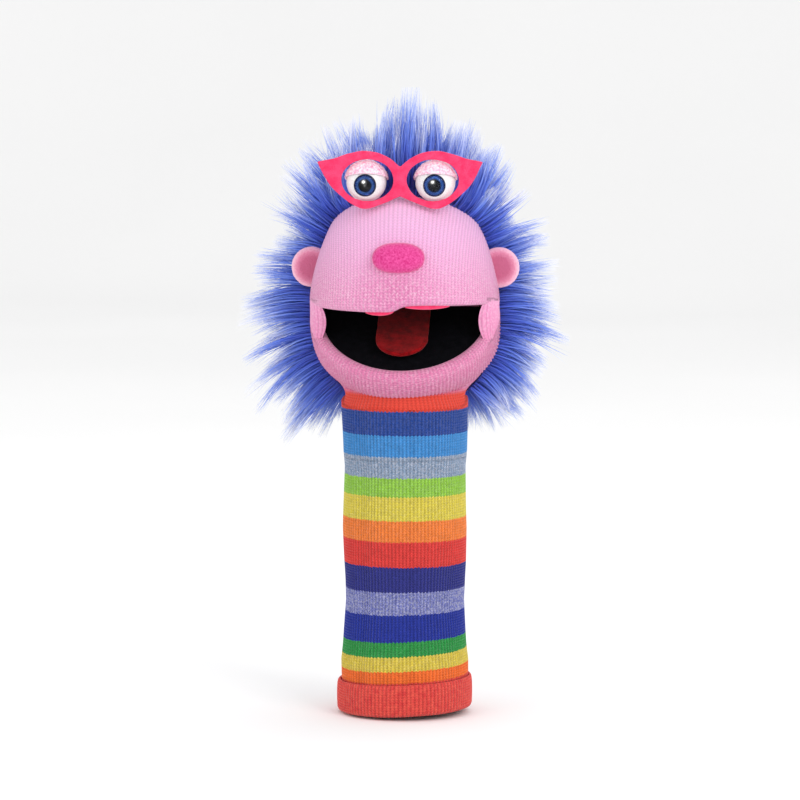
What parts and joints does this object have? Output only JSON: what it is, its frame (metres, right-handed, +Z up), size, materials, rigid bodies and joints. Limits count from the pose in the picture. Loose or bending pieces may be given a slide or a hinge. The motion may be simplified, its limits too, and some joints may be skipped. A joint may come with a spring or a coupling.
{
  "type": "sock puppet",
  "caption": "Hand puppet with a striped knitted sleeve, a full foam head with a mouth that opens, long-pile hair, plush eyes, a felt tongue and felt glasses.",
  "frame": {"origin": "middle of the sleeve's open end, at the bottom of the hem", "axes": "+Z up the arm to the head, -Y the way the face looks, +X to the viewer's right when the face is seen from in front"},
  "size_m": [0.1952, 0.1722, 0.3847],
  "materials": {
    "striped_knit": "ribbed knit, striped",
    "red_knit": "ribbed knit",
    "pink_knit": "ribbed knit",
    "blue_cloth": "woven backing",
    "blue_fur": "long pile",
    "foam": "open-cell foam",
    "stiff_board": "stiff sheet",
    "black_cloth": "matt",
    "pink_velour": "short pile",
    "rose_velour": "short pile",
    "white_velour": "short pile",
    "filling": "fibre fill",
    "iris_plastic": "gloss",
    "clear_plastic": "gloss",
    "washer_plastic": "matt",
    "pink_felt": "felt",
    "red_felt": "felt"
  },
  "bodies": {
    "sleeve": {"sleeve": "striped_knit", "hem_cuff": "red_knit", "sleeve_wrist_knit": "striped_knit"},
    "wrist": {"wrist_band": "striped_knit"},
    "head": {"neck_knit": "striped_knit", "head_skin": "pink_knit", "head_foam": "foam", "fur_backing": "blue_cloth", "fur_pile": "blue_fur", "palate_board": "stiff_board", "palate_lining": "black_cloth", "finger_pocket": "black_cloth", "mouth_fold": "black_cloth", "nose_cover": "pink_velour", "nose_stuffing": "filling", "ear_cover_left": "rose_velour", "ear_cover_right": "rose_velour", "ear_stuffing_left": "filling", "ear_stuffing_right": "filling", "eyeball_cover_left": "white_velour", "eyeball_cover_right": "white_velour", "eyeball_stuffing_left": "filling", "eyeball_stuffing_right": "filling", "eyelid_left": "pink_velour", "eyelid_right": "pink_velour", "iris_left": "iris_plastic", "iris_right": "iris_plastic", "cornea_left": "clear_plastic", "cornea_right": "clear_plastic", "eye_washer_left": "washer_plastic", "eye_washer_right": "washer_plastic", "glasses_frame": "pink_felt"},
    "jaw": {"jaw_skin": "pink_knit", "throat_knit": "pink_knit", "jaw_foam": "foam", "jaw_board": "stiff_board", "jaw_lining": "black_cloth", "thumb_pocket": "black_cloth"},
    "tongue": {"tongue": "red_felt"}
  },
  "joints": [
    {"name": "head_nod", "type": "hinge", "parent": "sleeve", "child": "wrist", "pos_m": [0, 0, 0.158], "axis": [1, 0, 0], "range_deg": [-25, 35], "deforming": ["sleeve_wrist_knit"]},
    {"name": "head_tilt", "type": "hinge", "parent": "wrist", "child": "head", "pos_m": [0, 0, 0.158], "axis": [0, 1, 0], "range_deg": [-20, 20], "deforming": ["neck_knit"]},
    {"name": "jaw_hinge", "type": "hinge", "parent": "head", "child": "jaw", "pos_m": [0, 0.008, 0.262], "axis": [1, 0, 0], "range_deg": [-32, 12], "deforming": ["throat_knit"]},
    {"name": "tongue_flap", "type": "hinge", "parent": "jaw", "child": "tongue", "pos_m": [0, 0.00297, 0.25873], "axis": [1, 0, 0], "range_deg": [-1.5, 4]}
  ],
  "couplings": [
    {"joint": "tongue_flap", "follows": "jaw_hinge", "ratio": -0.125}
  ]
}
